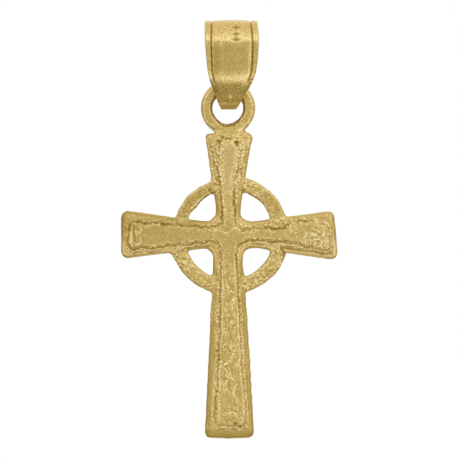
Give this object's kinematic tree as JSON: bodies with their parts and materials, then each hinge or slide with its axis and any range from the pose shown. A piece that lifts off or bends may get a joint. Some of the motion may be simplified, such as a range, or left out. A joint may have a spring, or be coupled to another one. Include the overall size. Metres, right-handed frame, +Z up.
{
  "type": "gold Celtic cross pendant",
  "caption": "Small gold Celtic cross pendant with a pierced ring, a soldered loop and a tapered strap bail, hanging free.",
  "frame": {"origin": "underside of the bail's crown, where a chain bears", "axes": "+Z up along the hanging pendant, +X across the cross to its right as the back is seen, +Y towards the front"},
  "size_m": [0.016, 0.0034, 0.0308],
  "materials": {
    "bail_gold": "brushed satin gold",
    "cast_gold": "as-cast satin gold, ground flat on the strips"
  },
  "bodies": {
    "bail": {"bail": "bail_gold"},
    "cross": {"celtic_cross": "cast_gold"}
  },
  "joints": [
    {"name": "swing", "type": "hinge", "parent": "bail", "child": "cross", "pos_m": [0, 0, -0.00482], "axis": [1, 0, 0], "range_deg": [-35, 35]}
  ]
}
